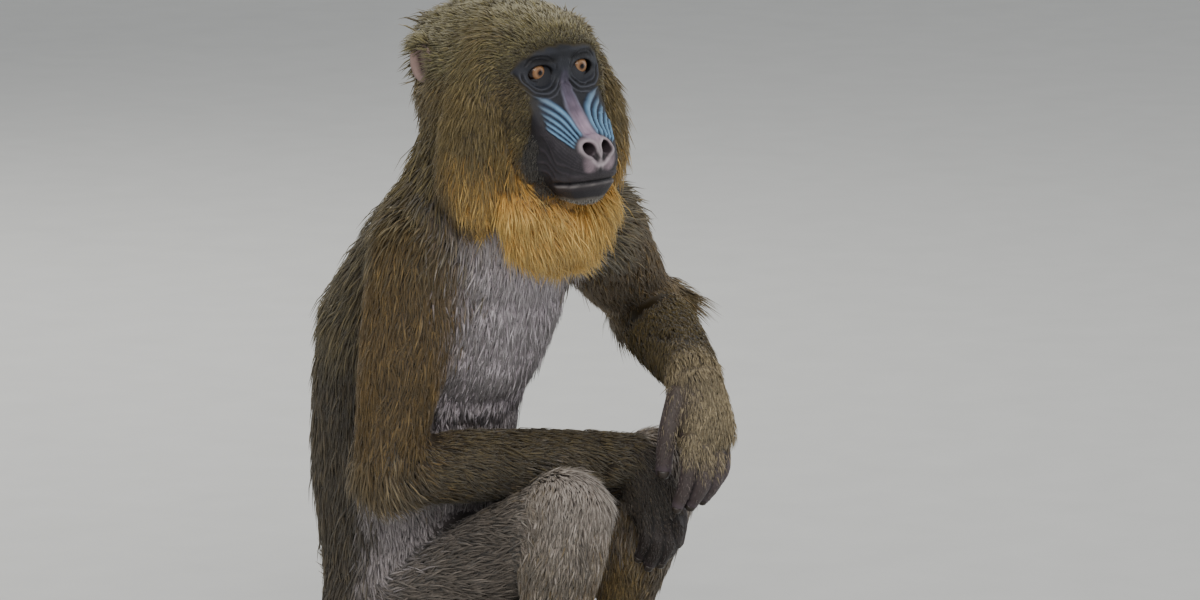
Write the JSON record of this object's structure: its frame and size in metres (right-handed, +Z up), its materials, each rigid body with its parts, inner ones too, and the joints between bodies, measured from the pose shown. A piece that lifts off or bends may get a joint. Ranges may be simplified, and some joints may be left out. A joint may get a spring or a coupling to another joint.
{
  "type": "sitting mandrill",
  "caption": "Life-size adult female mandrill sitting upright on its rump with knees drawn up and forearms crossed at the knees.",
  "frame": {"origin": "middle of the flat seat under the rump, on the floor", "axes": "+Z up; the hips face -Y, the animal's own right side is at -X"},
  "size_m": [0.3384, 0.4052, 0.536],
  "materials": {
    "face_skin": "bare dark skin with blue ridges beside the nose, olive coat behind it",
    "ear_skin": "bare greyish pink skin",
    "eye": "wet amber iris with a dark pupil",
    "orange_coat": "long golden orange beard hair",
    "olive_coat": "dark olive brown speckled coat",
    "golden_coat": "golden brown coat",
    "grey_coat": "dark grey brown coat",
    "pale_coat": "pale lilac grey belly coat",
    "hand_skin": "dark bare skin of fingers and toes, short hair on the backs"
  },
  "bodies": {
    "root": {"head": "face_skin", "eye_right": "eye", "eye_left": "eye", "ear_right": "ear_skin", "ear_left": "ear_skin", "beard": "orange_coat", "neck": "olive_coat", "chest": "grey_coat", "belly": "pale_coat", "rump": "grey_coat", "tail": "grey_coat", "thigh_right": "grey_coat", "shin_right": "golden_coat", "foot_right": "hand_skin", "thigh_left": "grey_coat", "shin_left": "golden_coat", "foot_left": "hand_skin", "upper_arm_right": "golden_coat", "forearm_right": "olive_coat", "hand_right": "hand_skin", "upper_arm_left": "golden_coat", "forearm_left": "olive_coat", "hand_left": "hand_skin"}
  },
  "joints": []
}
